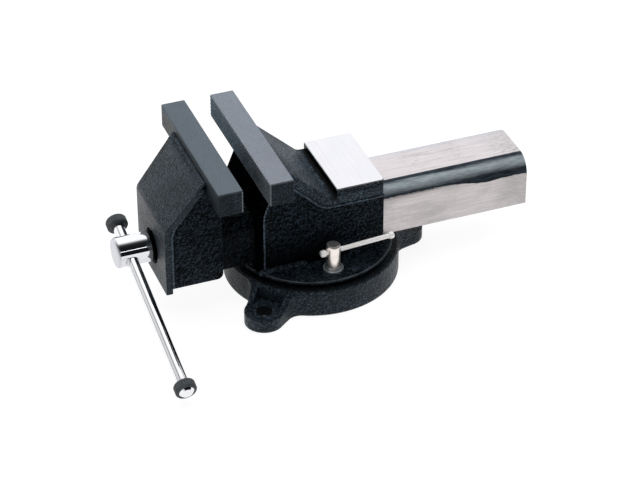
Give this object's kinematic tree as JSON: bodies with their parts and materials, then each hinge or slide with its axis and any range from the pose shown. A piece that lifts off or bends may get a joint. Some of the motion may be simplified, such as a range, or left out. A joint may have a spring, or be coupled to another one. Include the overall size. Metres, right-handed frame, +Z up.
{
  "type": "bench vise",
  "caption": "Steel bench vise with a swivel base, serrated jaws, a channel slide bar, a lead screw with a sliding handle, an anvil plate and swivel locks.",
  "frame": {"origin": "on the swivel axis, in the bench plane under the base", "axes": "+Z up, +Y towards the tail of the slide bar (handle at -Y), +X along the jaws, the side that the handle hangs on"},
  "size_m": [0.2546, 0.3663, 0.1443],
  "materials": {
    "cast_black": "rough cast surface under black textured enamel",
    "paint_black": "black wrinkle enamel on steel plate",
    "jaw_steel": "satin dark grey on ground steel",
    "anvil_steel": "bright brushed top, painted sides",
    "ground_steel": "ground along its length, mill scale left in the bends",
    "nut_iron": "machined cast iron",
    "black_oxide": "black oxide",
    "chrome": "polished",
    "zinc": "bright zinc plate",
    "rubber": "matt ribbed"
  },
  "bodies": {
    "base": {"swivel_base": "cast_black"},
    "vise_body": {"turntable_plate": "paint_black", "body_floor_plate": "paint_black", "pivot_bolt": "black_oxide", "pivot_washer": "black_oxide", "fixed_front_plate": "paint_black", "fixed_side_plate_right": "paint_black", "fixed_side_plate_left": "paint_black", "top_strap": "paint_black", "anvil_plate": "anvil_steel", "fixed_jaw_block": "jaw_steel", "screw_nut": "nut_iron", "nut_screws": "black_oxide", "lock_washer_right": "zinc", "lock_washer_left": "zinc"},
    "moving_jaw": {"movable_jaw_block": "jaw_steel", "movable_front_plate": "paint_black", "movable_side_plate_right": "paint_black", "movable_side_plate_left": "paint_black", "movable_back_plate": "paint_black", "slide_bar": "ground_steel", "thrust_block": "paint_black", "thrust_washer": "black_oxide"},
    "screw": {"lead_screw": "chrome", "retaining_collar": "black_oxide", "collar_pin": "black_oxide"},
    "handle": {"handle_bar": "chrome", "handle_cap_upper": "rubber", "handle_cap_lower": "rubber"},
    "lock_right": {"lock_bolt_right": "zinc"},
    "lock_left": {"lock_bolt_left": "zinc"},
    "tommy_right": {"lock_tommy_right": "zinc"},
    "tommy_left": {"lock_tommy_left": "zinc"},
    "tnut_right": {"t_nut_right": "black_oxide"},
    "tnut_left": {"t_nut_left": "black_oxide"}
  },
  "joints": [
    {"name": "swivel", "type": "hinge", "parent": "base", "child": "vise_body", "pos_m": [0, 0, 0.028], "axis": [0, 0, 1], "continuous": true},
    {"name": "jaw_slide", "type": "slide", "parent": "vise_body", "child": "moving_jaw", "axis": [0, 1, 0], "range_m": [-0.1274, 0.0223]},
    {"name": "screw_turn", "type": "hinge", "parent": "moving_jaw", "child": "screw", "pos_m": [0, -0.1645, 0.0557], "axis": [0, 1, 0], "range_deg": [-9165, 1600]},
    {"name": "handle_slide", "type": "slide", "parent": "screw", "child": "handle", "axis": [0.9677, 0, -0.2521], "range_m": [-0.1345, 0.0132]},
    {"name": "lock_turn_right", "type": "hinge", "parent": "vise_body", "child": "lock_right", "pos_m": [0.054, 0, 0.04], "axis": [0, 0, 1], "range_deg": [-178, 6]},
    {"name": "lock_turn_left", "type": "hinge", "parent": "vise_body", "child": "lock_left", "pos_m": [-0.054, 0, 0.04], "axis": [0, 0, 1], "range_deg": [-178, 6]},
    {"name": "tommy_slide_right", "type": "slide", "parent": "lock_right", "child": "tommy_right", "axis": [-0.0785, 0.9969, 0], "range_m": [-0.0448, 0]},
    {"name": "tommy_slide_left", "type": "slide", "parent": "lock_left", "child": "tommy_left", "axis": [0.0785, -0.9969, 0], "range_m": [-0.0448, 0]},
    {"name": "tnut_lift_right", "type": "slide", "parent": "vise_body", "child": "tnut_right", "axis": [0, 0, 1], "range_m": [-0.0001, 0.00075]},
    {"name": "tnut_lift_left", "type": "slide", "parent": "vise_body", "child": "tnut_left", "axis": [0, 0, 1], "range_m": [-0.0001, 0.00075]}
  ],
  "couplings": [
    {"joint": "jaw_slide", "follows": "screw_turn", "m_per_rad": 0.00079577},
    {"joint": "tnut_lift_right", "follows": "lock_turn_right", "m_per_rad": -0.00023873},
    {"joint": "tnut_lift_left", "follows": "lock_turn_left", "m_per_rad": -0.00023873}
  ]
}
